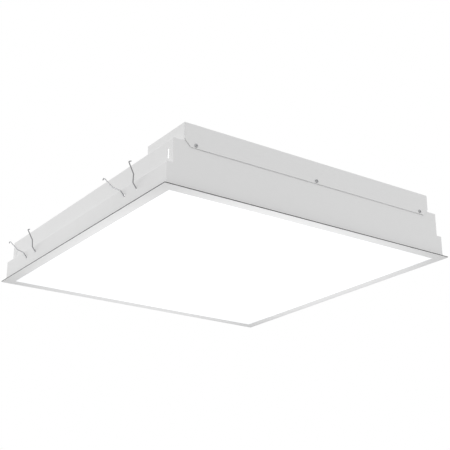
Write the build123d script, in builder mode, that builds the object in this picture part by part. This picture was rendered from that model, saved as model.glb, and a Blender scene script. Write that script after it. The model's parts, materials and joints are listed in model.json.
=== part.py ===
from build123d import *
import math
import os

# Recessed ceiling light with a flat opal panel: a stepped sheet-steel housing, a gear box on top of it
# and wire clips at its sides that spring out over the edge of the ceiling.
#
# Millimetres, +Z up. The origin is the centre of the trim frame's underside, the face seen in the room.
# +X and -X are the stepped sides with the wire clips. The gear box stands along the front, at -Y.

os.makedirs("parts", exist_ok=True)

# ---------------------------------------------------------------- driving sizes
# trim frame and seal
frame_side = 595.0          # outside of the square frame, for a 600 mm ceiling module
frame_face = 20.0           # width of the white border seen from below
frame_lip = 6.5             # how far the frame stands out past the housing walls
frame_sheet = 0.5
upstand_height = 12.0       # the frame's standing leg inside the housing
upstand_sheet = 0.8
upstand_gap = 1.4           # between the standing leg and the housing wall, where the frame clips spring
gasket_thickness = 1.4

# housing
housing_sheet = 0.7
bend_radius = 0.8           # inside radius of every sheet bend
lower_tier_top = 40.0
step_depth = 11.0           # how far the upper tier stands in at each side
upper_tier_height = 41.5
bead_count = 3              # pressed stiffening beads across the top
bead_width = 14.0
bead_rise = 1.6
bead_flank = 45.0          # degrees
bead_margin = 60.0          # from the upper tier's sides to the ends of the beads
end_flange = 12.0           # inward flanges of the end plates
end_flange_margin = 10.0
screw_hole_fit = 0.3        # between a shank and its hole, on the radius

# hanger slots in the upper tier
hanger_slot_length = 18.0
hanger_slot_width = 4.0
hanger_slot_margin = 14.0   # from the housing's ends
hanger_slot_rise = 19.8     # above the lower tier

# gear box and its lid
gear_box_margin = 31.0      # from the housing's sides
gear_box_depth = 111.0
gear_box_height = 31.5
gear_flange = 10.0          # feet and returns of the gear box walls
gear_rivet_margin = 24.0
gear_rear_rivet_margin = 100.0
lid_fit = 0.1               # lid tabs under the return of the rear wall
flap_gap = 0.4              # between the lid's flap and the front end plate
flap_overlap = 8.8          # how far the flap hangs below the housing's top
flap_corner_cut = 11.0
flap_relief = 1.2           # radius of the notch where a corner cut meets the flap's side edge
lid_screw_drop = 4.2        # below the housing's top
lid_screw_margin = 20.5     # from the gear box's ends
lid_tab_margin = 90.0
lid_tab_width = 30.0
lid_tab_reach = 6.0         # how far a tab tucks under the return
lid_tab_slope = 4.0
lid_tab_clearance = 1.0     # beside each tab, where it is lanced out of the lid

# wire clips
clip_wire = 1.8             # diameter of the spring wire
clip_margin = 108.0         # from the housing's ends to the middle of a clip
clip_hole_height = 25.0
clip_slope = 50.0           # degrees above level, at rest
clip_swing_up = 12.0        # degrees from rest to its upper stop
clip_half_span = 18.6       # from a clip's middle to each leg, at the wall
clip_inner_reach = 7.0      # wire behind the wall
clip_shoulder_start = 10.8  # along a leg, from the wall
clip_shoulder_end = 21.2
clip_shoulder_in = 19.7     # half spans at the two ends of the shoulder
clip_shoulder_out = 32.8
clip_leg_end = 41.5
clip_leg_out = 39.4
clip_hook = 5.6
clip_hook_drop = 1.6
clip_bend = 1.8
clip_hole_fit = 0.45

# opal panel and the pieces that hold it
panel_fit = 0.3             # between the opal panel's step and the frame's opening
panel_rim = 8.5             # width of the rim that rests on the frame
panel_thickness = 3.0
retainer_sheet = 0.6
retainer_height = 9.0
retainer_foot = 10.0
retainer_corner_gap = 1.0
frame_clip_sheet = 0.5
frame_clip_width = 18.0
frame_clip_margin = 147.5   # from the frame's corners
frame_clip_drop = 8.0
frame_clip_bow_drop = 5.0
frame_clip_fit = 0.1

# light source
tray_drop = 9.6             # from the housing's ceiling to the underside of the tray
tray_sheet = 0.8
tray_side_gap = 17.0
tray_end_gap = 21.0
tray_foot = 12.0
tray_screw_rows = 4
tray_screw_margin = 30.0
board_count = 6
board_side_gap = 13.0
board_width = 20.0
board_thickness = 1.6
board_rivet_margin = 50.0
leds_per_board = 20
led_side = 3.5
led_height = 0.7
socket_length = 10.0
socket_depth = 5.0
socket_height = 4.0
jumper_wire = 1.6
jumper_gap = 3.2
feed_window = 16.0
feed_window_depth = 13.0
feed_length = 12.0
feed_depth = 9.0
feed_height = 5.6

# gear in the box
feed_margin = 35.0          # from the gear box's right end to the feed of the light source
driver_feed_gap = 25.0
driver_length = 280.0
driver_width = 32.0
driver_height = 22.0
driver_edge_radius = 2.0
driver_ear = 9.0
driver_ear_width = 10.0
driver_ear_thickness = 2.0
terminal_margin = 60.0      # from the gear box's left end
terminal_length = 36.0
terminal_width = 20.0
terminal_height = 17.0
terminal_edge_radius = 3.0
terminal_pitch = 12.0
port_radius = 2.0
port_depth = 6.0
port_level = 6.5            # height of the supply leads above the housing
pole_screw_radius = 2.0
pole_screw_length = 4.0
pole_screw_sink = 1.0
pole_screw_fit = 0.2
pole_screw_inset = 5.0
stud_margin = 25.0
stud_front_gap = 29.0
stud_radius = 2.0
stud_length = 12.0
stud_nut_across = 7.0
stud_nut_height = 3.2

# grommets and leads
entry_bore = 4.5            # radius that a supply cable passes
entry_neck = 8.0
entry_flange = 11.0
feed_bore = 4.4
feed_neck = 6.0
feed_flange = 8.5
grommet_lip = 1.6
grommet_chamfer = 0.6
lead_wire = 2.2
lead_bend = 4.0
lead_track = 7.0            # from the terminal block to the first lead that runs beside it
lead_track_gap = 5.0
lead_turn_gap = 25.0
lead_turn_step = 8.0
driver_pole_step = 6.0
led_lead_level = 12.0
led_lead_spread = 3.0
led_lead_step = 7.0

# fasteners: head radius, head height, shank radius
lid_screw = (3.1, 1.9, 1.5)
tray_screw = (3.6, 2.2, 1.75)
driver_screw = (3.4, 2.0, 1.9)
gear_rivet = (3.2, 1.1, 1.6)
board_rivet = (2.8, 1.0, 1.5)
crown_share = 0.45          # of a screw head's height
fastener_tail = 1.0         # shank past the last sheet
nut_across = 5.5
nut_height = 2.4
nut_thread_fit = 0.1
nut_relief = 9.0            # notch in the end plate's flange at each nut

# ---------------------------------------------------------------- sizes that follow
half_frame = frame_side / 2
half_opening = half_frame - frame_face
half_housing = half_frame - frame_lip
inner_half = half_housing - housing_sheet
wall_middle = half_housing - housing_sheet / 2
half_upper = half_housing - step_depth
housing_top = lower_tier_top + upper_tier_height
ceiling = housing_top - housing_sheet
upstand_outer = inner_half - upstand_gap
upstand_inner = upstand_outer - upstand_sheet
upstand_top = frame_sheet + upstand_height

half_gear = half_housing - gear_box_margin
gear_floor = housing_top
gear_top = gear_floor + gear_box_height
gear_front = -half_housing
gear_rear = gear_front + gear_box_depth
gear_middle = (gear_front + gear_rear) / 2
lid_under = gear_top - housing_sheet
flap_inner = gear_front - flap_gap
flap_outer = flap_inner - housing_sheet
flap_bottom = housing_top - flap_overlap
lid_screw_height = housing_top - lid_screw_drop
lid_screw_spots = [side * (half_gear - lid_screw_margin) for side in (-1, 0, 1)]
gear_rivet_spots = ([(side * (half_gear - gear_flange / 2), y) for side in (-1, 1)
                     for y in (gear_front + gear_rivet_margin, gear_rear - gear_rivet_margin)]
                    + [(side * (half_gear - gear_rear_rivet_margin), gear_rear - gear_flange / 2)
                       for side in (-1, 0, 1)])

half_tray = half_upper - tray_side_gap
tray_half_length = half_housing - tray_end_gap
tray_under = ceiling - tray_drop
tray_top = tray_under + tray_sheet
tray_screw_pitch = 2 * (tray_half_length - tray_screw_margin) / (tray_screw_rows - 1)
tray_screw_spots = [(side * (half_tray + tray_foot / 2), tray_screw_pitch * (row - (tray_screw_rows - 1) / 2))
                    for side in (-1, 1) for row in range(tray_screw_rows)]
board_length = 2 * (half_tray - board_side_gap)
board_under = tray_under - board_thickness
board_pitch = 2 * tray_half_length / board_count
board_rows = [board_pitch * (row - (board_count - 1) / 2) for row in range(board_count)]
board_rivet_spots = [(side * (board_length / 2 - board_rivet_margin), y)
                     for side in (-1, 0, 1) for y in board_rows]

feed_x = half_gear - feed_margin
feed_y = board_rows[0]
driver_right = feed_x - driver_feed_gap
driver_left = driver_right - driver_length
driver_x = (driver_left + driver_right) / 2
terminal_x = -(half_gear - terminal_margin)
terminal_front = gear_middle - terminal_width / 2
poles = [terminal_x + step * terminal_pitch for step in (-1, 0, 1)]
port_z = gear_floor + port_level
stud_x = -(half_gear - stud_margin)
stud_y = gear_front + stud_front_gap
entry_z = gear_floor + gear_box_height / 2


# ---------------------------------------------------------------- shapes used more than once
def save(piece, name):
    """Label a finished piece and write it."""
    piece.label = name
    export_step(piece, f"parts/{name}.step")


def place_all(piece, planes):
    """One group of separate copies of a piece, one on each plane."""
    return Compound(children=[plane.location * piece for plane in planes])


def screw(sizes, shank_length):
    """Pan-head screw on +Z, with the underside of its head at the origin."""
    head_radius, head_height, shank_radius = sizes
    crown = head_height * crown_share
    with BuildPart() as body:
        with BuildSketch(Plane.XZ):
            with BuildLine():
                Polyline((0, -shank_length), (shank_radius, -shank_length), (shank_radius, 0),
                         (head_radius, 0), (head_radius, head_height - crown),
                         (head_radius - crown, head_height), (0, head_height), close=True)
            make_face()
        revolve(axis=Axis.Z)
    return body.part


def rivet(sizes, shank_length):
    """Flat-head rivet on +Z, with the underside of its head at the origin."""
    head_radius, head_height, shank_radius = sizes
    with BuildPart() as body:
        Cylinder(head_radius, head_height, align=(Align.CENTER, Align.CENTER, Align.MIN))
        Cylinder(shank_radius, shank_length, align=(Align.CENTER, Align.CENTER, Align.MAX))
    return body.part


def rounded_path(points, radius):
    """Straight runs from point to point with rounded corners."""
    with BuildLine() as path:
        FilletPolyline(*points, radius=radius)
    return path.wire()


def wire(path, diameter):
    """Round wire along a path."""
    with BuildPart() as body:
        with BuildSketch(Plane(origin=path @ 0, z_dir=path % 0)):
            Circle(diameter / 2)
        sweep(path=path)
    return body.part


def grommet(bore, neck, flange):
    """Rubber grommet on +Z, centred in a sheet whose middle is at the origin."""
    half_sheet = housing_sheet / 2
    lip = half_sheet + grommet_lip
    shoulder = lip - grommet_chamfer
    with BuildPart() as ring:
        with BuildSketch(Plane.XZ):
            with BuildLine():
                Polyline((bore, -lip), (flange - grommet_chamfer, -lip), (flange, -shoulder),
                         (flange, -half_sheet), (neck, -half_sheet), (neck, half_sheet), (flange, half_sheet),
                         (flange, shoulder), (flange - grommet_chamfer, lip), (bore, lip), close=True)
            make_face()
        revolve(axis=Axis.Z)
    return ring.part


def stepped_outline(inset):
    """Closed outline of the housing's stepped section, drawn in from the outside by inset."""
    outer_bend = bend_radius + housing_sheet - inset
    inner_bend = bend_radius + inset
    low = half_housing - inset
    high = half_upper - inset
    step = lower_tier_top - inset
    top = housing_top - inset
    points = [(-low, frame_sheet), (-low, step), (-high, step), (-high, top),
              (high, top), (high, step), (low, step), (low, frame_sheet)]
    radii = [outer_bend, inner_bend, outer_bend, outer_bend, inner_bend, outer_bend]
    FilletPolyline(*points, radius=radii)
    Line((low, frame_sheet), (-low, frame_sheet))


# ---------------------------------------------------------------- wire clips
clip_middle = half_housing - clip_margin
steepest = math.radians(clip_slope + clip_swing_up)
clip_hole_width = clip_wire + 2 * clip_hole_fit
clip_hole_length = clip_wire / math.cos(steepest) + housing_sheet * math.tan(steepest) + 2 * clip_hole_fit


def clip_path(side, middle):
    """Centre line of a clip: hook, leg, back bar behind the wall, leg and hook."""
    slope = math.radians(clip_slope)
    across = Vector(0, -side, 0)
    along = Vector(side * math.cos(slope), 0, math.sin(slope))
    at_wall = (side * wall_middle, middle, clip_hole_height)
    plane = Plane(origin=at_wall, x_dir=across, z_dir=across.cross(along))
    right = [(clip_half_span, -clip_inner_reach),
             (clip_shoulder_in, clip_shoulder_start),
             (clip_shoulder_out, clip_shoulder_end),
             (clip_leg_out, clip_leg_end),
             (clip_leg_out + clip_hook, clip_leg_end - clip_hook_drop)]
    left = [(-x, y) for x, y in reversed(right)]
    return rounded_path([plane.from_local_coords(Vector(x, y, 0)) for x, y in left + right], clip_bend)


def least_gap(path, diameter):
    """Least gap between two stretches of a wire that lie more than three diameters apart along it."""
    steps_per_diameter = 2
    steps = round(path.length / diameter * steps_per_diameter)
    apart = 3 * steps_per_diameter
    points = [path @ (step / steps) for step in range(steps + 1)]
    gaps = [(points[i] - points[j]).length for i in range(steps + 1) for j in range(i + apart, steps + 1)]
    return min(gaps) - diameter


for side, side_name in ((-1, "left"), (1, "right")):
    for end, end_name in ((-1, "front"), (1, "rear")):
        save(wire(clip_path(side, end * clip_middle), clip_wire), f"wire_clip_{side_name}_{end_name}")
print(f"wire clip: least gap to itself {least_gap(clip_path(1, clip_middle), clip_wire):.2f} mm")

# ---------------------------------------------------------------- housing
bead_inset = housing_sheet * math.tan(math.radians(bead_flank / 2))    # keeps the sheet's thickness there
bead_length = 2 * (half_upper - bead_margin)
bead_pitch = (half_housing - gear_rear) / (bead_count + 1)
bead_spots = [(0, gear_rear + bead_pitch * row) for row in range(1, bead_count + 1)]

with BuildPart() as housing_tray:
    with BuildSketch(Plane.XZ):
        with BuildLine():
            stepped_outline(0)
        make_face()
        with BuildLine():
            stepped_outline(housing_sheet)
        make_face(mode=Mode.SUBTRACT)
    extrude(amount=inner_half, both=True)
    with BuildSketch(Plane.XY.offset(housing_top)):
        with Locations(*bead_spots):
            SlotOverall(bead_length, bead_width)
    extrude(amount=bead_rise, taper=bead_flank)
    with BuildSketch(Plane.XY.offset(ceiling)):
        with Locations(*bead_spots):
            SlotOverall(bead_length - 2 * bead_inset, bead_width - 2 * bead_inset)
    extrude(amount=bead_rise, taper=bead_flank, mode=Mode.SUBTRACT)
    with BuildSketch(Plane.YZ):
        with Locations(*[(end * (half_housing - hanger_slot_margin), lower_tier_top + hanger_slot_rise)
                         for end in (-1, 1)]):
            SlotOverall(hanger_slot_length, hanger_slot_width, rotation=90)
        with Locations(*[(end * clip_middle + leg * clip_half_span, clip_hole_height)
                         for end in (-1, 1) for leg in (-1, 1)]):
            SlotOverall(clip_hole_length, clip_hole_width, rotation=90)
    extrude(amount=half_housing, both=True, mode=Mode.SUBTRACT)
    with BuildSketch(Plane.XY.offset(ceiling)):
        with Locations(*tray_screw_spots):
            Circle(tray_screw[2] + screw_hole_fit)
        with Locations(*gear_rivet_spots):
            Circle(gear_rivet[2] + screw_hole_fit)
        with Locations((feed_x, feed_y)):
            Circle(feed_neck)
    extrude(amount=housing_sheet, mode=Mode.SUBTRACT)
save(housing_tray.part, "housing_tray")


def end_plate(end, screw_holes):
    """Flat end wall with the housing's stepped outline and inward flanges, spot-welded to the tray."""
    inside = end * (inner_half - end_flange / 2)
    flange_bottom = upstand_top + end_flange_margin
    flange_top = lower_tier_top - end_flange_margin
    with BuildPart() as plate:
        with BuildSketch(Plane.XZ.offset(-end * half_housing)):
            with BuildLine():
                stepped_outline(0)
            make_face()
            with Locations(*[(x, lid_screw_height) for x in screw_holes]):
                Circle(lid_screw[2] + screw_hole_fit, mode=Mode.SUBTRACT)
        extrude(amount=end * housing_sheet)
        with Locations((0, inside, ceiling - housing_sheet / 2)):
            Box(2 * (half_upper - end_flange_margin), end_flange, housing_sheet)
        for x in screw_holes:
            with Locations((x, inside, ceiling - housing_sheet / 2)):
                Box(nut_relief, end_flange, housing_sheet, mode=Mode.SUBTRACT)
        for side in (-1, 1):
            flange_x = side * (inner_half - housing_sheet / 2)
            with Locations((flange_x, inside, (flange_bottom + flange_top) / 2)):
                Box(housing_sheet, end_flange, flange_top - flange_bottom)
    return plate.part


save(end_plate(-1, lid_screw_spots), "front_end_plate")
save(end_plate(1, []), "rear_end_plate")

# ---------------------------------------------------------------- gear box on top
with BuildPart() as gear_box:
    with BuildSketch(Plane.XY.offset(gear_floor)):
        with Locations(*[(side * (half_gear - housing_sheet / 2), gear_middle) for side in (-1, 1)]):
            Rectangle(housing_sheet, gear_box_depth)
        with Locations((0, gear_rear - housing_sheet / 2)):
            Rectangle(2 * half_gear, housing_sheet)
        with Locations(*[(side * (half_gear - gear_flange / 2), gear_front + housing_sheet / 2)
                         for side in (-1, 1)]):
            Rectangle(gear_flange, housing_sheet)
    extrude(amount=lid_under - gear_floor)
    for level in (gear_floor, lid_under - housing_sheet):
        with BuildSketch(Plane.XY.offset(level)):
            with Locations(*[(side * (half_gear - gear_flange / 2), gear_middle) for side in (-1, 1)]):
                Rectangle(gear_flange, gear_box_depth)
            with Locations((0, gear_rear - gear_flange / 2)):
                Rectangle(2 * half_gear, gear_flange)
        extrude(amount=housing_sheet)
    rear_corners = gear_box.edges().filter_by(Axis.Z).group_by(Axis.Y)[-1]
    fillet(rear_corners, bend_radius + housing_sheet)
    under_lid_bend = gear_box.edges().filter_by(Axis.X).group_by(Axis.Y)[0].group_by(Axis.Z)[-1]
    fillet(under_lid_bend, bend_radius)
    with BuildSketch(Plane.XZ.offset(-gear_rear)):
        with Locations((terminal_x, entry_z)):
            Circle(entry_neck)
    extrude(amount=housing_sheet, mode=Mode.SUBTRACT)
    with BuildSketch(Plane.XY.offset(gear_floor)):
        with Locations(*gear_rivet_spots):
            Circle(gear_rivet[2] + screw_hole_fit)
    extrude(amount=housing_sheet, mode=Mode.SUBTRACT)
save(gear_box.part, "gear_box")

tab_root = gear_rear - gear_flange - lid_tab_reach
tab_mouth = gear_rear - gear_flange
tab_end = gear_rear - gear_flange + lid_tab_reach
tab_top = lid_under - housing_sheet - lid_fit
tab_under = tab_top - housing_sheet

with BuildPart() as gear_lid:
    with BuildSketch(Plane.YZ):
        with BuildLine():
            FilletPolyline((gear_rear, gear_top), (flap_outer, gear_top), (flap_outer, flap_bottom),
                           radius=bend_radius + housing_sheet)
            Line((flap_outer, flap_bottom), (flap_inner, flap_bottom))
            FilletPolyline((flap_inner, flap_bottom), (flap_inner, lid_under), (gear_rear, lid_under),
                           radius=bend_radius)
            Line((gear_rear, lid_under), (gear_rear, gear_top))
        make_face()
    extrude(amount=half_gear, both=True)
    with BuildSketch(Plane.XZ.offset(-flap_inner)):
        for side in (-1, 1):
            with BuildLine():
                Polyline((side * half_gear, flap_bottom), (side * (half_gear - flap_corner_cut), flap_bottom),
                         (side * half_gear, flap_bottom + flap_corner_cut), close=True)
            make_face()
        with Locations(*[(side * half_gear, flap_bottom + flap_corner_cut) for side in (-1, 1)]):
            Circle(flap_relief)
        with Locations(*[(x, lid_screw_height) for x in lid_screw_spots]):
            Circle(lid_screw[2] + screw_hole_fit)
    extrude(amount=housing_sheet, mode=Mode.SUBTRACT)
    for side in (-1, 1):
        middle = side * (half_gear - lid_tab_margin)
        lanced_width = lid_tab_width + 2 * lid_tab_clearance
        with Locations((middle, (tab_root + tab_mouth) / 2, (lid_under + gear_top) / 2)):
            Box(lanced_width, tab_mouth - tab_root, housing_sheet, mode=Mode.SUBTRACT)
        with BuildSketch(Plane.YZ.offset(middle)):
            with BuildLine():
                Polyline((tab_root, lid_under), (tab_root, gear_top), (tab_root + lid_tab_slope, tab_top),
                         (tab_end, tab_top), (tab_end, tab_under),
                         (tab_root + lid_tab_slope - housing_sheet / 2, tab_under), close=True)
            make_face()
        extrude(amount=lid_tab_width / 2, both=True)
save(gear_lid.part, "gear_lid")

lid_screw_length = housing_sheet + flap_gap + housing_sheet + nut_height + fastener_tail
lid_screw_planes = [Plane(origin=(x, flap_outer, lid_screw_height), z_dir=(0, -1, 0))
                    for x in lid_screw_spots]
save(place_all(screw(lid_screw, lid_screw_length), lid_screw_planes), "lid_screws")

with BuildPart() as weld_nut:
    with BuildSketch(Plane.XY):
        RegularPolygon(nut_across / 2, 6, major_radius=False)
        Circle(lid_screw[2] + nut_thread_fit, mode=Mode.SUBTRACT)
    extrude(amount=nut_height)
nut_planes = [Plane(origin=(x, -inner_half, lid_screw_height), x_dir=(1, 0, 0), z_dir=(0, 1, 0))
              for x in lid_screw_spots]
save(place_all(weld_nut.part, nut_planes), "lid_weld_nuts")

gear_rivet_planes = [Plane(origin=(x, y, gear_floor + housing_sheet)) for x, y in gear_rivet_spots]
save(place_all(rivet(gear_rivet, 2 * housing_sheet + fastener_tail), gear_rivet_planes), "gear_box_rivets")

# ---------------------------------------------------------------- trim frame, seal and opal panel
with BuildPart() as trim_frame:
    with BuildSketch(Plane.XY):
        Rectangle(frame_side, frame_side)
        Rectangle(2 * half_opening, 2 * half_opening, mode=Mode.SUBTRACT)
    extrude(amount=frame_sheet)
    with BuildSketch(Plane.XY.offset(frame_sheet)):
        Rectangle(2 * upstand_outer, 2 * upstand_outer)
        Rectangle(2 * upstand_inner, 2 * upstand_inner, mode=Mode.SUBTRACT)
    extrude(amount=upstand_height)
save(trim_frame.part, "trim_frame")

with BuildPart() as ceiling_gasket:
    with BuildSketch(Plane.XY.offset(frame_sheet)):
        Rectangle(frame_side, frame_side)
        Rectangle(2 * half_housing, 2 * half_housing, mode=Mode.SUBTRACT)
    extrude(amount=gasket_thickness)
save(ceiling_gasket.part, "ceiling_gasket")

with BuildPart() as opal_diffuser:
    with BuildSketch(Plane.XY):
        Rectangle(2 * (half_opening - panel_fit), 2 * (half_opening - panel_fit))
    extrude(amount=frame_sheet)
    with BuildSketch(Plane.XY.offset(frame_sheet)):
        Rectangle(2 * (half_opening + panel_rim), 2 * (half_opening + panel_rim))
    extrude(amount=panel_thickness)
save(opal_diffuser.part, "opal_diffuser")

retainer_outer = upstand_inner - frame_clip_sheet
retainer_inner = retainer_outer - retainer_foot
retainer_length = 2 * (retainer_inner - retainer_corner_gap)
panel_top = frame_sheet + panel_thickness
quarter_turns = {"right": 0, "rear": 90, "left": 180, "front": 270}


def retainer():
    """Angle strip for the +X side: its foot holds the panel down, its leg stands against the frame clips."""
    sheet = retainer_sheet
    top = panel_top + retainer_height
    with BuildPart() as strip:
        with BuildSketch(Plane.XZ):
            with BuildLine():
                FilletPolyline((retainer_inner, panel_top), (retainer_outer, panel_top),
                               (retainer_outer, top), radius=2 * sheet)
                Line((retainer_outer, top), (retainer_outer - sheet, top))
                FilletPolyline((retainer_outer - sheet, top), (retainer_outer - sheet, panel_top + sheet),
                               (retainer_inner, panel_top + sheet), radius=sheet)
                Line((retainer_inner, panel_top + sheet), (retainer_inner, panel_top))
            make_face()
        extrude(amount=retainer_length / 2, both=True)
    return strip.part


def frame_clip():
    """Spring clip over the frame's standing leg at +X, bowed out against the housing wall."""
    sheet = frame_clip_sheet
    bow = inner_half - frame_clip_fit
    low = upstand_top - frame_clip_drop
    bow_level = upstand_top - frame_clip_bow_drop
    foot = upstand_outer + frame_clip_fit
    with BuildPart() as clip:
        with BuildSketch(Plane.XZ):
            with BuildLine():
                Polyline((upstand_inner, low), (upstand_inner, upstand_top), (upstand_outer, upstand_top),
                         (bow - sheet, bow_level), (foot, low), (foot + sheet, low),
                         (bow, bow_level), (upstand_outer + sheet, upstand_top + sheet),
                         (upstand_inner - sheet, upstand_top + sheet), (upstand_inner - sheet, low),
                         close=True)
            make_face()
        extrude(amount=frame_clip_width / 2, both=True)
    return clip.part


for side_name, turn in quarter_turns.items():
    save(Rotation(0, 0, turn) * retainer(), f"diffuser_retainer_{side_name}")

frame_clip_turns = [Rotation(0, 0, turn) * Pos(0, end * (half_frame - frame_clip_margin), 0)
                    for turn in quarter_turns.values() for end in (-1, 1)]
save(Compound(children=[turn * frame_clip() for turn in frame_clip_turns]), "frame_clips")

# ---------------------------------------------------------------- light source
with BuildPart() as led_tray:
    with BuildSketch(Plane.XZ):
        with BuildLine():
            foot_end = half_tray + tray_foot
            inside = half_tray - tray_sheet
            foot_under = ceiling - tray_sheet
            Polyline((-foot_end, ceiling), (-inside, ceiling), (-inside, tray_top), (inside, tray_top),
                     (inside, ceiling), (foot_end, ceiling), (foot_end, foot_under), (half_tray, foot_under),
                     (half_tray, tray_under), (-half_tray, tray_under), (-half_tray, foot_under),
                     (-foot_end, foot_under), close=True)
        make_face()
    extrude(amount=tray_half_length, both=True)
    with BuildSketch(Plane.XY.offset(tray_under)):
        with Locations(*board_rivet_spots):
            Circle(board_rivet[2] + screw_hole_fit)
        with Locations((feed_x, feed_y)):
            Rectangle(feed_window, feed_window_depth)
        with Locations(*tray_screw_spots):
            Circle(tray_screw[2] + screw_hole_fit)
    extrude(amount=tray_drop, mode=Mode.SUBTRACT)
save(led_tray.part, "led_tray")

tray_screw_length = housing_sheet + tray_sheet + fastener_tail
tray_screw_planes = [Plane(origin=(x, y, housing_top)) for x, y in tray_screw_spots]
save(place_all(screw(tray_screw, tray_screw_length), tray_screw_planes), "led_tray_screws")

for number, row in enumerate(board_rows, start=1):
    with BuildPart() as led_board:
        with BuildSketch(Plane.XY.offset(board_under)):
            with Locations((0, row)):
                Rectangle(board_length, board_width)
            with Locations(*[spot for spot in board_rivet_spots if spot[1] == row]):
                Circle(board_rivet[2] + screw_hole_fit, mode=Mode.SUBTRACT)
        extrude(amount=board_thickness)
        with BuildSketch(Plane.XY.offset(board_under)):
            with Locations((0, row)):
                with GridLocations(board_length / leds_per_board, 1, leds_per_board, 1):
                    Rectangle(led_side, led_side)
        extrude(amount=-led_height)
    save(led_board.part, f"led_board_{number}")

board_rivet_length = board_thickness + tray_sheet + fastener_tail
board_rivet_planes = [Plane(origin=(x, y, board_under), z_dir=(0, 0, -1)) for x, y in board_rivet_spots]
save(place_all(rivet(board_rivet, board_rivet_length), board_rivet_planes), "board_rivets")

socket_x = board_length / 2 - socket_length
socket_z = board_under - socket_height / 2
socket_edge = board_width / 2 - socket_depth / 2
with BuildPart() as board_sockets:
    with Locations(*[(socket_x, row + socket_edge, socket_z) for row in board_rows[:-1]]):
        Box(socket_length, socket_depth, socket_height)
    with Locations(*[(socket_x, row - socket_edge, socket_z) for row in board_rows[1:]]):
        Box(socket_length, socket_depth, socket_height)
save(board_sockets.part, "board_sockets")

with BuildPart() as board_jumpers:
    with Locations(*[(socket_x + pole * jumper_gap / 2, row + board_pitch / 2, socket_z)
                     for row in board_rows[:-1] for pole in (-1, 1)]):
        Cylinder(jumper_wire / 2, board_pitch - board_width, rotation=(90, 0, 0))
save(board_jumpers.part, "board_jumpers")

with BuildPart() as feed_connector:
    with Locations((feed_x, feed_y, tray_under)):
        Box(feed_length, feed_depth, feed_height, align=(Align.CENTER, Align.CENTER, Align.MIN))
save(feed_connector.part, "feed_connector")

# ---------------------------------------------------------------- gear inside the box
driver_ears = [(driver_x + side * (driver_length - driver_ear_width) / 2,
                gear_middle + edge * (driver_width + driver_ear) / 2) for side in (-1, 1) for edge in (-1, 1)]

with BuildPart() as driver:
    with Locations((driver_x, gear_middle, gear_floor + driver_height / 2)):
        Box(driver_length, driver_width, driver_height)
    fillet(driver.edges().filter_by(Axis.X).group_by(Axis.Z)[-1], driver_edge_radius)
    with BuildSketch(Plane.XY.offset(gear_floor)):
        with Locations(*driver_ears):
            Rectangle(driver_ear_width, driver_ear)
    extrude(amount=driver_ear_thickness)
    with BuildSketch(Plane.XY.offset(gear_floor)):
        with Locations(*driver_ears):
            Circle(driver_screw[2] + screw_hole_fit)
    extrude(amount=driver_ear_thickness, mode=Mode.SUBTRACT)
save(driver.part, "driver")

driver_screw_planes = [Plane(origin=(x, y, gear_floor + driver_ear_thickness)) for x, y in driver_ears]
save(place_all(rivet(driver_screw, driver_ear_thickness), driver_screw_planes), "driver_screws")

terminal_top = gear_floor + terminal_height
pole_screw_spots = [(x, gear_middle + end * pole_screw_inset) for x in poles for end in (-1, 1)]
pole_screw_well = pole_screw_length + pole_screw_sink

with BuildPart() as terminal_block:
    with Locations((terminal_x, gear_middle, gear_floor + terminal_height / 2)):
        Box(terminal_length, terminal_width, terminal_height)
    fillet(terminal_block.edges().filter_by(Axis.X).group_by(Axis.Z)[-1], terminal_edge_radius)
    for end in (-1, 1):
        with BuildSketch(Plane.XZ.offset(-(gear_middle + end * terminal_width / 2))):
            with Locations(*[(x, port_z) for x in poles]):
                Circle(port_radius)
        extrude(amount=end * port_depth, mode=Mode.SUBTRACT)
    with BuildSketch(Plane.XY.offset(terminal_top)):
        with Locations(*pole_screw_spots):
            Circle(pole_screw_radius + pole_screw_fit)
    extrude(amount=-pole_screw_well, mode=Mode.SUBTRACT)
save(terminal_block.part, "terminal_block")

with BuildPart() as terminal_screws:
    with BuildSketch(Plane.XY.offset(terminal_top - pole_screw_well)):
        with Locations(*pole_screw_spots):
            Circle(pole_screw_radius)
    extrude(amount=pole_screw_length)
save(terminal_screws.part, "terminal_screws")

entry_plane = Plane(origin=(terminal_x, gear_rear - housing_sheet / 2, entry_z), z_dir=(0, 1, 0))
save(entry_plane.location * grommet(entry_bore, entry_neck, entry_flange), "cable_grommet")
feed_plane = Plane(origin=(feed_x, feed_y, ceiling + housing_sheet / 2))
save(feed_plane.location * grommet(feed_bore, feed_neck, feed_flange), "lead_grommet")

with BuildPart() as earth_stud:
    with Locations((stud_x, stud_y, gear_floor)):
        Cylinder(stud_radius, stud_length, align=(Align.CENTER, Align.CENTER, Align.MIN))
    with BuildSketch(Plane.XY.offset(gear_floor)):
        with Locations((stud_x, stud_y)):
            RegularPolygon(stud_nut_across / 2, 6, major_radius=False)
    extrude(amount=stud_nut_height)
save(earth_stud.part, "earth_stud")

# ---------------------------------------------------------------- leads inside the box and down to the boards
lead_start = terminal_front + port_depth - lead_wire / 2

for order, name in enumerate(("neutral_lead", "live_lead")):
    pole_x = poles[order + 1]
    track_y = terminal_front - lead_track - lead_track_gap * (1 - order)
    turn_x = driver_left - lead_turn_gap - lead_turn_step * order
    input_y = gear_middle + driver_pole_step * order
    route = [(pole_x, lead_start, port_z), (pole_x, track_y, port_z), (turn_x, track_y, port_z),
             (turn_x, input_y, port_z), (driver_left, input_y, port_z)]
    save(wire(rounded_path(route, lead_bend), lead_wire), name)

earth_route = [(poles[0], lead_start, port_z), (poles[0], stud_y, port_z),
               (stud_x + stud_radius, stud_y, port_z)]
save(wire(rounded_path(earth_route, lead_bend), lead_wire), "earth_lead")

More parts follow.
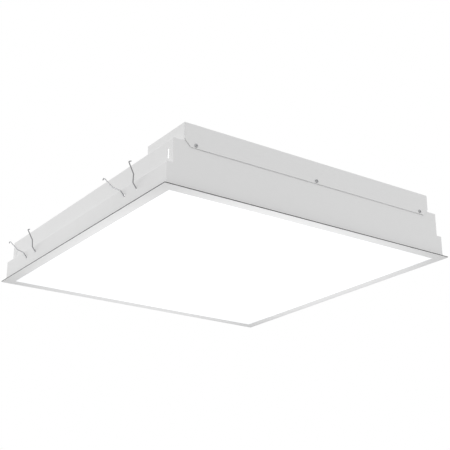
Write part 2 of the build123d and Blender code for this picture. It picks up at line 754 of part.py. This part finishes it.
run_z = gear_floor + led_lead_level
connector_top = tray_under + feed_height
plus_x = feed_x - led_lead_spread
minus_x = feed_x + led_lead_spread
minus_y = feed_y - led_lead_step
plus_route = [(driver_right, feed_y, run_z), (plus_x, feed_y, run_z), (plus_x, feed_y, connector_top)]
minus_route = [(driver_right, minus_y, run_z), (minus_x, minus_y, run_z), (minus_x, feed_y, run_z),
               (minus_x, feed_y, connector_top)]
save(wire(rounded_path(plus_route, lead_bend), lead_wire), "led_lead_plus")
minus_bend = led_lead_step / 2 - lead_wire / 4      # two bends share the run across
save(wire(rounded_path(minus_route, minus_bend), lead_wire), "led_lead_minus")
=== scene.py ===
import json
import math

import bpy
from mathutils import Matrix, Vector


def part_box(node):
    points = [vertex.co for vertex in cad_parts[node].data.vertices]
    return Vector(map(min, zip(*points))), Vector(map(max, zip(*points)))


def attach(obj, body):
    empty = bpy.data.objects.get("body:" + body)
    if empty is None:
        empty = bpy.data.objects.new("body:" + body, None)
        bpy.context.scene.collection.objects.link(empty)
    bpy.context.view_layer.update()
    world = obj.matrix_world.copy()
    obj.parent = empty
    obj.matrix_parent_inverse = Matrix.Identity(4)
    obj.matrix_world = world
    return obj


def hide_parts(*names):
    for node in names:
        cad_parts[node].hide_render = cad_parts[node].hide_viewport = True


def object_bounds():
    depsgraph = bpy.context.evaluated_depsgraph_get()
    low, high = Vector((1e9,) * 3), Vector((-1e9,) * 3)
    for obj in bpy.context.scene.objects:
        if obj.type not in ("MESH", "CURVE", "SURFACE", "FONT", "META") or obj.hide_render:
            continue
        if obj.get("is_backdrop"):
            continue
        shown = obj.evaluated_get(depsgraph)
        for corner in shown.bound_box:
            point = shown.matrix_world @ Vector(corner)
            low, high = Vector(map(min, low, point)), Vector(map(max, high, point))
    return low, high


# Looks of the recessed ceiling light, in metres and with +Z up. The origin is at the centre of the trim
# frame's underside. The light hangs above a plain floor, as it would in a ceiling, and is seen from below.

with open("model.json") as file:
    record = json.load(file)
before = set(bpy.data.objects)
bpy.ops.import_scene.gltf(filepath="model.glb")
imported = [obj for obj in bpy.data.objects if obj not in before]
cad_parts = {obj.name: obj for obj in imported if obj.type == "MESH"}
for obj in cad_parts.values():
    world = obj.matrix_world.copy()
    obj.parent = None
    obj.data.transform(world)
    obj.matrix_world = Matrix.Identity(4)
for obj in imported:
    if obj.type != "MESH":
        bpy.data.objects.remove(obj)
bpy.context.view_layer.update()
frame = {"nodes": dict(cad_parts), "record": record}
nodes = frame["nodes"]
MM = 0.001

# ---------------------------------------------------------------- viewpoint, floor and light
CAMERA_PLACE = (-1.0010, -1.4554, -0.5762)
CAMERA_AIM = (0.5371, 0.7663, 0.3528)
CAMERA_LENS = 80.0          # millimetres, as is the sensor
CAMERA_SENSOR = 36.0
FLOOR_LEVEL = -2.2
FLOOR_SIDE = 12.0
FLOOR_THROWN = 0.43         # share of the light that the floor throws back onto the part
FLOOR_SEEN = 0.74           # its grey as the camera sees it
SKY_THROWN = 0.92           # light of the white sky on the part
SKY_SEEN = 1.0              # and as the camera sees it
FILL_FROM_BELOW = {"place": (0.0, -0.009, -0.143), "target": (0.0, -0.009, 0), "side": 0.54, "power": 1.08}
SOFT_LEFT = {"place": (-1.8, 1.2, 0.6), "target": (-0.3, 0.1, 0.05), "side": 1.2, "power": 6.0}
SOFT_RIGHT = {"place": (1.9, -1.4, 0.5), "target": (0.3, -0.3, 0.05), "side": 1.2, "power": 3.6}
WIRE_GLINT = {"place": (-4.22, 0.24, -0.71), "target": (-0.3, 0.0, 0.05), "side": 3.4, "power": 140.0}

# ---------------------------------------------------------------- colours, linear
WHITE_COAT = (0.80, 0.80, 0.80)
TRIM_COAT = (0.84, 0.84, 0.84)
REFLECTOR_COAT = (0.92, 0.92, 0.91)
OPAL = (0.80, 0.81, 0.82)
ZINC = (0.42, 0.42, 0.43)
SPRING_STEEL = (0.32, 0.32, 0.33)
GALVANISED = (0.52, 0.53, 0.54)
BRASS = (0.62, 0.44, 0.18)
SEAL_BLACK = (0.045, 0.045, 0.047)
GROMMET_BLACK = (0.03, 0.03, 0.03)
BOARD_WHITE = (0.82, 0.82, 0.79)
CONNECTOR_CREAM = (0.74, 0.72, 0.62)
DRIVER_GREY = (0.78, 0.78, 0.78)
TERMINAL_GREY = (0.62, 0.62, 0.58)
NYLON = (0.85, 0.85, 0.83)
LEAD_BROWN = (0.09, 0.03, 0.012)
LEAD_BLUE = (0.02, 0.06, 0.30)
LEAD_GREEN = (0.03, 0.22, 0.04)
LEAD_YELLOW = (0.70, 0.55, 0.03)
LEAD_RED = (0.40, 0.01, 0.008)
LEAD_BLACK = (0.012, 0.012, 0.012)

# ---------------------------------------------------------------- glow of the panel, and painted light from the boards
REFLECTOR_PAINTED_LIGHT = 0.45       # painted light on the coated sheet that faces the boards, standing for their light
ROOM_GLOW = 0.48            # panel, on the side seen in the room
CHAMBER_PAINTED_LIGHT = 0.8          # panel, on the side of the boards: painted light, standing for the boards' light falling on it

# ---------------------------------------------------------------- grain of the metals
ALONG_Y = (1.0, 0.02, 1.0)
ALONG_Z = (1.0, 1.0, 0.1)

# ---------------------------------------------------------------- sizes of the screws
LID_SCREW = {"Head Height": 1.9 * MM, "Shank Radius": 1.5 * MM}
TRAY_SCREW = {"Head Height": 2.2 * MM, "Shank Radius": 1.75 * MM}
TRAY_HEAD_RADIUS = 3.6 * MM
TRAY_SCREW_ROWS = 4
RIM_SHARE = 0.45            # of the head's height, below the dome
RECESS_REACH = 0.6          # of the head's radius, from its centre to the end of each slot
RECESS_WIDTH = 0.13         # of the head's radius, to each side of a slot's middle
RECESS_DEPTH = 0.55         # of the head's height
HEAD_SIDES = 32
DOME_RINGS = 48
CREASE_ANGLE = math.radians(30)


class Shader:
    """One node material in the making: its surface and the object coordinates that pattern it."""

    def __init__(self, name):
        self.material = bpy.data.materials.new(name)
        self.material.use_nodes = True
        self.tree = self.material.node_tree
        self.surface = self.tree.nodes["Principled BSDF"]
        self.place = self.tree.nodes.new("ShaderNodeTexCoord").outputs["Object"]

    def add(self, kind, **values):
        """New node whose inputs are set by name."""
        node = self.tree.nodes.new(kind)
        for name, value in values.items():
            node.inputs[name.replace("_", " ")].default_value = value
        return node

    def join(self, source, target):
        """What one socket gives, into another."""
        self.tree.links.new(source, target)

    def noise(self, scale, detail=2.0, stretch=(1.0, 1.0, 1.0)):
        """Noise in object space, per metre, stretched along an axis where stretch is small."""
        mapping = self.add("ShaderNodeMapping", Scale=stretch)
        self.join(self.place, mapping.inputs["Vector"])
        texture = self.add("ShaderNodeTexNoise", Scale=scale, Detail=detail)
        self.join(mapping.outputs["Vector"], texture.inputs["Vector"])
        return texture.outputs["Fac"]

    def cells(self, scale):
        """Voronoi cells in object space, as grey values."""
        texture = self.add("ShaderNodeTexVoronoi", Scale=scale)
        self.join(self.place, texture.inputs["Vector"])
        grey = self.add("ShaderNodeSeparateColor")
        self.join(texture.outputs["Color"], grey.inputs["Color"])
        return grey.outputs["Red"]

    def spread(self, source, low, high):
        """The middle of the source's range, where noise mostly is, mapped onto low to high."""
        ramp = self.add("ShaderNodeMapRange", From_Min=0.3, From_Max=0.7, To_Min=low, To_Max=high)
        self.join(source, ramp.inputs["Value"])
        return ramp.outputs["Result"]

    def colour(self, base, source, swing):
        """Base colour that varies by plus or minus swing with the source."""
        scaled = self.tree.nodes.new("ShaderNodeVectorMath")
        scaled.operation = "SCALE"
        scaled.inputs[0].default_value = base
        self.join(self.spread(source, 1 - swing, 1 + swing), scaled.inputs["Scale"])
        self.join(scaled.outputs["Vector"], self.surface.inputs["Base Color"])
        return scaled.outputs["Vector"]

    def roughness(self, source, low, high):
        """Roughness that follows the source from low to high."""
        self.join(self.spread(source, low, high), self.surface.inputs["Roughness"])

    def bump(self, source, distance, strength=0.5):
        """Relief of that depth, in metres."""
        relief = self.add("ShaderNodeBump", Distance=distance, Strength=strength)
        self.join(source, relief.inputs["Height"])
        self.join(relief.outputs["Normal"], self.surface.inputs["Normal"])


# ---------------------------------------------------------------- materials
def coated_steel(name, base, grain, rough, gloss=0.5, glow=0.0):
    """Powder coat: fine orange-peel relief and a faint drift in tone. Its glow is painted light, standing
    for the light of the boards.
    """
    shader = Shader(name)
    tone = shader.colour(base, shader.noise(scale=9.0), swing=0.004)
    shader.roughness(shader.noise(scale=60.0), low=rough - 0.05, high=rough + 0.05)
    shader.bump(shader.noise(grain, detail=3.0), distance=0.02 * MM)
    shader.surface.inputs["Specular IOR Level"].default_value = gloss
    # painted light: the coat glows in its own tone, as if lit by the boards
    shader.join(tone, shader.surface.inputs["Emission Color"])
    shader.surface.inputs["Emission Strength"].default_value = glow
    return shader.material


def opal_plastic(name):
    """Milky panel that glows with the fitting's light in the room; its stronger glow on the side of the
    boards is painted light from them.
    """
    shader = Shader(name)
    tone = shader.colour(OPAL, shader.noise(scale=6.0), swing=0.004)
    shader.roughness(shader.noise(scale=40.0), low=0.30, high=0.36)
    shader.join(tone, shader.surface.inputs["Emission Color"])
    up = shader.tree.nodes.new("ShaderNodeSeparateXYZ")
    shader.join(shader.tree.nodes["Texture Coordinate"].outputs["Normal"], up.inputs["Vector"])
    # painted light: faces turned up to the boards glow more, standing for the boards' light on the panel
    glow = shader.add("ShaderNodeMapRange", From_Min=0.0, From_Max=0.5,
                      To_Min=ROOM_GLOW, To_Max=CHAMBER_PAINTED_LIGHT)
    shader.join(up.outputs["Z"], glow.inputs["Value"])
    shader.join(glow.outputs["Result"], shader.surface.inputs["Emission Strength"])
    return shader.material


def moulded(name, base, rough=0.45, grain=1500.0):
    """Moulded plastic or rubber with a fine matt grain."""
    shader = Shader(name)
    shader.colour(base, shader.noise(scale=120.0), swing=0.05)
    shader.roughness(shader.noise(scale=300.0), low=rough - 0.08, high=rough + 0.08)
    shader.bump(shader.noise(grain), distance=0.03 * MM)
    return shader.material


def drawn_metal(name, base, rough, stretch):
    """Metal with fine drawing or rolling marks along one axis."""
    shader = Shader(name)
    shader.surface.inputs["Metallic"].default_value = 1.0
    marks = shader.noise(scale=2500.0, stretch=stretch)
    shader.colour(base, marks, swing=0.12)
    shader.roughness(marks, low=rough - 0.07, high=rough + 0.07)
    shader.bump(marks, distance=0.01 * MM, strength=0.3)
    return shader.material


def spangled_zinc(name):
    """Galvanised sheet with its crystal spangle."""
    shader = Shader(name)
    shader.surface.inputs["Metallic"].default_value = 1.0
    crystals = shader.cells(scale=160.0)
    shader.colour(GALVANISED, crystals, swing=0.10)
    shader.roughness(crystals, low=0.32, high=0.48)
    return shader.material


def striped_lead(name, base, stripe):
    """Insulation with a helical stripe of a second colour."""
    shader = Shader(name)
    wave = shader.add("ShaderNodeTexWave", Scale=90.0, Distortion=0.0)
    wave.bands_direction = "DIAGONAL"
    shader.join(shader.place, wave.inputs["Vector"])
    step = shader.tree.nodes.new("ShaderNodeValToRGB")
    step.color_ramp.interpolation = "CONSTANT"
    step.color_ramp.elements[0].color = (*base, 1.0)
    step.color_ramp.elements[1].color = (*stripe, 1.0)
    step.color_ramp.elements[1].position = 0.5
    shader.join(wave.outputs["Fac"], step.inputs["Fac"])
    shader.join(step.outputs["Color"], shader.surface.inputs["Base Color"])
    shader.surface.inputs["Roughness"].default_value = 0.35
    return shader.material


finishes = {
    "housing_paint": coated_steel("housing_paint", WHITE_COAT, grain=1400.0, rough=0.42),
    "trim_paint": coated_steel("trim_paint", TRIM_COAT, grain=1800.0, rough=0.38, gloss=0.2),
    # the reflector coat's glow is painted light from the boards
    "chamber_paint": coated_steel("chamber_paint", REFLECTOR_COAT, grain=1200.0, rough=0.55,
                                  glow=REFLECTOR_PAINTED_LIGHT),
    "opal_panel": opal_plastic("opal_panel"),
    "seal_rubber": moulded("seal_rubber", SEAL_BLACK, rough=0.7),
    "grommet_rubber": moulded("grommet_rubber", GROMMET_BLACK, rough=0.55),
    "spring_wire": drawn_metal("spring_wire", SPRING_STEEL, rough=0.18, stretch=ALONG_Y),
    "zinc_steel": drawn_metal("zinc_steel", ZINC, rough=0.24, stretch=ALONG_Z),
    "galvanised_steel": spangled_zinc("galvanised_steel"),
    "board_mask": moulded("board_mask", BOARD_WHITE, rough=0.35),
    "connector_plastic": moulded("connector_plastic", CONNECTOR_CREAM),
    "driver_case": moulded("driver_case", DRIVER_GREY),
    "terminal_plastic": moulded("terminal_plastic", TERMINAL_GREY),
    "rivet_nylon": moulded("rivet_nylon", NYLON),
    "brass_metal": drawn_metal("brass_metal", BRASS, rough=0.28, stretch=ALONG_Z),
    "lead_brown": moulded("lead_brown", LEAD_BROWN, rough=0.35),
    "lead_blue": moulded("lead_blue", LEAD_BLUE, rough=0.35),
    "lead_green_yellow": striped_lead("lead_green_yellow", LEAD_GREEN, LEAD_YELLOW),
    "lead_red": moulded("lead_red", LEAD_RED, rough=0.35),
    "lead_black": moulded("lead_black", LEAD_BLACK, rough=0.35),
}

for row in frame["record"]["subparts"]:
    piece = nodes[row["node"]]
    for slot in piece.material_slots:
        slot.material = finishes[row["material_slot"]]


# ---------------------------------------------------------------- screw heads
class Pattern:
    """One geometry node tree under construction, whose sizes are named inputs."""

    def __init__(self, name):
        self.tree = bpy.data.node_groups.new(name, "GeometryNodeTree")
        self.tree.interface.new_socket("Geometry", in_out="INPUT", socket_type="NodeSocketGeometry")
        self.tree.interface.new_socket("Geometry", in_out="OUTPUT", socket_type="NodeSocketGeometry")
        self.given = self.tree.nodes.new("NodeGroupInput")
        self.result = self.tree.nodes.new("NodeGroupOutput")
        self.keys = {}

    def size(self, name, kind="NodeSocketFloat"):
        """Named input of the tree."""
        self.keys[name] = self.tree.interface.new_socket(name, in_out="INPUT", socket_type=kind).identifier
        return self.given.outputs[name]

    def feed(self, target, value):
        """A plain value, or what another node gives, into a socket."""
        if isinstance(value, bpy.types.NodeSocket):
            self.tree.links.new(value, target)
        else:
            target.default_value = value

    def add(self, kind, settings=None, **sources):
        """What a new node gives. Its inputs are fed by name."""
        node = self.tree.nodes.new(kind)
        for name, value in (settings or {}).items():
            setattr(node, name, value)
        for name, value in sources.items():
            self.feed(node.inputs[name.replace("_", " ")], value)
        return node.outputs[0]

    def reckon(self, operation, first, second):
        """Result of one sum."""
        node = self.tree.nodes.new("ShaderNodeMath")
        node.operation = operation
        self.feed(node.inputs[0], first)
        self.feed(node.inputs[1], second)
        return node.outputs[0]

    def lifted(self, shape, level):
        """The shape moved along Z."""
        offset = self.add("ShaderNodeCombineXYZ", Z=level)
        return self.add("GeometryNodeTransform", Geometry=shape, Translation=offset)

    def slot(self, length, width, height, level):
        """Cutter for one slot of a recess, centred at that level."""
        size = self.add("ShaderNodeCombineXYZ", X=length, Y=width, Z=height)
        return self.lifted(self.add("GeometryNodeMeshCube", Size=size), level)

    def boolean(self, operation, first, *others):
        """Closed shapes cut from the first, or what they have in common with it."""
        node = self.tree.nodes.new("GeometryNodeMeshBoolean")
        node.operation = operation
        node.solver = "EXACT"
        self.tree.links.new(first, node.inputs["Mesh 1" if operation == "DIFFERENCE" else "Mesh 2"])
        for other in others:
            self.tree.links.new(other, node.inputs["Mesh 2"])
        return node.outputs["Mesh"]


def cross_recess_screws():
    """Screws on the mesh's points, each with a domed head, a cross recess in it and a shank."""
    pattern = Pattern("cross_recess_screws")
    radius = pattern.size("Head Radius")
    height = pattern.size("Head Height")
    shank_radius = pattern.size("Shank Radius")
    shank_length = pattern.size("Shank Length")
    facing = pattern.size("Facing", "NodeSocketVector")
    metal = pattern.size("Metal", "NodeSocketMaterial")

    barrel = pattern.add("GeometryNodeMeshCylinder", Vertices=HEAD_SIDES, Radius=radius, Depth=height)
    half_height = pattern.reckon("MULTIPLY", height, 0.5)
    crown = pattern.reckon("MULTIPLY", height, 1 - RIM_SHARE)
    chord = pattern.reckon("DIVIDE", pattern.reckon("MULTIPLY", radius, radius), crown)
    dome_radius = pattern.reckon("MULTIPLY", pattern.reckon("ADD", chord, crown), 0.5)
    dome = pattern.add("GeometryNodeMeshUVSphere", Segments=HEAD_SIDES, Rings=DOME_RINGS,
                       Radius=dome_radius)
    dome_level = pattern.reckon("SUBTRACT", height, dome_radius)
    head = pattern.boolean("INTERSECT", pattern.lifted(barrel, half_height),
                           pattern.lifted(dome, dome_level))

    reach = pattern.reckon("MULTIPLY", radius, 2 * RECESS_REACH)
    width = pattern.reckon("MULTIPLY", radius, 2 * RECESS_WIDTH)
    depth = pattern.reckon("MULTIPLY", height, 2 * RECESS_DEPTH)
    recess = (pattern.slot(reach, width, depth, height), pattern.slot(width, reach, depth, height))
    slotted = pattern.boolean("DIFFERENCE", head, *recess)

    shank = pattern.add("GeometryNodeMeshCylinder", Vertices=HEAD_SIDES, Radius=shank_radius,
                        Depth=shank_length)
    half_down = pattern.reckon("MULTIPLY", shank_length, -0.5)
    both = pattern.tree.nodes.new("GeometryNodeJoinGeometry")
    pattern.feed(both.inputs["Geometry"], slotted)
    pattern.feed(both.inputs["Geometry"], pattern.lifted(shank, half_down))
    crease = pattern.add("GeometryNodeInputMeshEdgeAngle")
    rounded = pattern.reckon("LESS_THAN", crease, CREASE_ANGLE)
    screw = pattern.add("GeometryNodeSetShadeSmooth", {"domain": "EDGE"},
                        Geometry=both.outputs["Geometry"], Shade_Smooth=rounded)

    turn = pattern.add("FunctionNodeAlignRotationToVector", {"axis": "Z"}, Vector=facing)
    placed = pattern.add("GeometryNodeInstanceOnPoints", Points=pattern.given.outputs["Geometry"],
                         Instance=screw, Rotation=turn)
    real = pattern.add("GeometryNodeRealizeInstances", Geometry=placed)
    finished = pattern.add("GeometryNodeSetMaterial", Geometry=real, Material=metal)
    pattern.feed(pattern.result.inputs["Geometry"], finished)
    return pattern


def screw_group(pattern, replaced, spots, sizes):
    """One piece of screws at those spots, which stands for the plain ones of the frame."""
    points = bpy.data.meshes.new(replaced)
    points.from_pydata(spots, [], [])
    piece = bpy.data.objects.new(replaced + "_cross_recess", points)
    bpy.context.scene.collection.objects.link(piece)
    modifier = piece.modifiers.new("screws", "NODES")
    modifier.node_group = pattern.tree
    for name, value in sizes.items():
        modifier[pattern.keys[name]] = value
    bpy.context.view_layer.update()
    shaped = piece.evaluated_get(bpy.context.evaluated_depsgraph_get())
    mesh = bpy.data.meshes.new_from_object(shaped)
    piece.modifiers.remove(modifier)
    piece.data = mesh
    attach(piece, "root")
    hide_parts(replaced)


screw_pattern = cross_recess_screws()

low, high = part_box("lid_screws")
lid_head_radius = (high.z - low.z) / 2
lid_row = (low.x + lid_head_radius, (low.x + high.x) / 2, high.x - lid_head_radius)
lid_head_under = low.y + LID_SCREW["Head Height"]
screw_group(screw_pattern, "lid_screws", [(x, lid_head_under, (low.z + high.z) / 2) for x in lid_row], {
    **LID_SCREW,
    "Head Radius": lid_head_radius,
    "Shank Length": high.y - lid_head_under,
    "Facing": (0.0, -1.0, 0.0),
    "Metal": finishes["zinc_steel"],
})

low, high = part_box("led_tray_screws")
tray_head_under = high.z - TRAY_SCREW["Head Height"]
tray_columns = (low.x + TRAY_HEAD_RADIUS, high.x - TRAY_HEAD_RADIUS)
first_row = low.y + TRAY_HEAD_RADIUS
row_pitch = (high.y - TRAY_HEAD_RADIUS - first_row) / (TRAY_SCREW_ROWS - 1)
tray_spots = [(x, first_row + row_pitch * row, tray_head_under)
              for x in tray_columns for row in range(TRAY_SCREW_ROWS)]
screw_group(screw_pattern, "led_tray_screws", tray_spots, {
    **TRAY_SCREW,
    "Head Radius": TRAY_HEAD_RADIUS,
    "Shank Length": tray_head_under - low.z,
    "Facing": (0.0, 0.0, 1.0),
    "Metal": finishes["zinc_steel"],
})

# ---------------------------------------------------------------- camera
camera_data = bpy.data.cameras.new("camera")
camera_data.lens = CAMERA_LENS
camera_data.sensor_width = CAMERA_SENSOR
camera = bpy.data.objects.new("camera", camera_data)
camera.location = CAMERA_PLACE
camera.rotation_euler = Vector(CAMERA_AIM).to_track_quat("-Z", "Y").to_euler()
bpy.context.scene.collection.objects.link(camera)
bpy.context.scene.camera = camera


# ---------------------------------------------------------------- studio
def any_view_ray(tree):
    """1 on camera, glossy and transmission rays, which see the background as it is."""
    ray = tree.nodes.new("ShaderNodeLightPath")
    seen_by = ray.outputs["Is Camera Ray"]
    for also in ("Is Glossy Ray", "Is Transmission Ray"):
        either = tree.nodes.new("ShaderNodeMath")
        either.operation = "MAXIMUM"
        tree.links.new(seen_by, either.inputs[0])
        tree.links.new(ray.outputs[also], either.inputs[1])
        seen_by = either.outputs[0]
    return seen_by


def white_sky(name):
    """White world that throws a little less light than it shows."""
    world = bpy.data.worlds.new(name)
    world.use_nodes = True
    nodes_of_sky = world.node_tree.nodes
    links = world.node_tree.links
    choose = nodes_of_sky.new("ShaderNodeMixShader")
    links.new(any_view_ray(world.node_tree), choose.inputs["Fac"])
    backgrounds = (nodes_of_sky["Background"], nodes_of_sky.new("ShaderNodeBackground"))
    for background, strength, target in zip(backgrounds, (SKY_THROWN, SKY_SEEN), choose.inputs[1:]):
        background.inputs["Color"].default_value = (1.0, 1.0, 1.0, 1.0)
        background.inputs["Strength"].default_value = strength
        links.new(background.outputs["Background"], target)
    links.new(choose.outputs["Shader"], nodes_of_sky["World Output"].inputs["Surface"])
    return world


bpy.context.scene.world = white_sky("studio")


def area_lamp(name, place, target, side, power):
    """Soft square lamp that the camera doesn't see."""
    data = bpy.data.lights.new(name, "AREA")
    data.size = side
    data.energy = power
    lamp = bpy.data.objects.new(name, data)
    lamp.location = place
    lamp.rotation_euler = (Vector(target) - Vector(place)).to_track_quat("-Z", "Y").to_euler()
    lamp.visible_camera = False
    bpy.context.scene.collection.objects.link(lamp)
    return lamp


area_lamp("fill_from_below", **FILL_FROM_BELOW)

# Coats and metals mirror the white background, and not these two lamps.
for lamp in (area_lamp("soft_left", **SOFT_LEFT), area_lamp("soft_right", **SOFT_RIGHT)):
    lamp.visible_glossy = False

# The slanted legs of the wire clips catch this one, and it reaches nothing else.
glint = area_lamp("glint_for_wire", **WIRE_GLINT)
wires = bpy.data.collections.new("wires")
for name, piece in nodes.items():
    if name.startswith("wire_clip"):
        wires.objects.link(piece)
glint.light_linking.receiver_collection = wires


def pale_floor(name):
    """Matt floor that throws back less light than it shows."""
    shader = Shader(name)
    grain = shader.noise(scale=120.0)
    dark, light = 0.97, 1.03
    seen_ray = any_view_ray(shader.tree)
    tone = shader.tree.nodes.new("ShaderNodeMapRange")
    shader.join(seen_ray, tone.inputs["Value"])
    shader.join(shader.spread(grain, FLOOR_THROWN * dark, FLOOR_THROWN * light), tone.inputs["To Min"])
    shader.join(shader.spread(grain, FLOOR_SEEN * dark, FLOOR_SEEN * light), tone.inputs["To Max"])
    shader.join(tone.outputs["Result"], shader.surface.inputs["Base Color"])
    shader.surface.inputs["Roughness"].default_value = 0.7
    return shader.material


floor_mesh = bpy.data.meshes.new("floor")
half = FLOOR_SIDE / 2
corners = [(x * half, y * half, FLOOR_LEVEL) for x, y in ((-1, -1), (1, -1), (1, 1), (-1, 1))]
floor_mesh.from_pydata(corners, [], [(0, 1, 2, 3)])
floor = bpy.data.objects.new("floor", floor_mesh)
floor_mesh.materials.append(pale_floor("floor_paint"))
bpy.context.scene.collection.objects.link(floor)
floor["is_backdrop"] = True

bpy.context.scene.view_settings.view_transform = "Standard"

low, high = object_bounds()
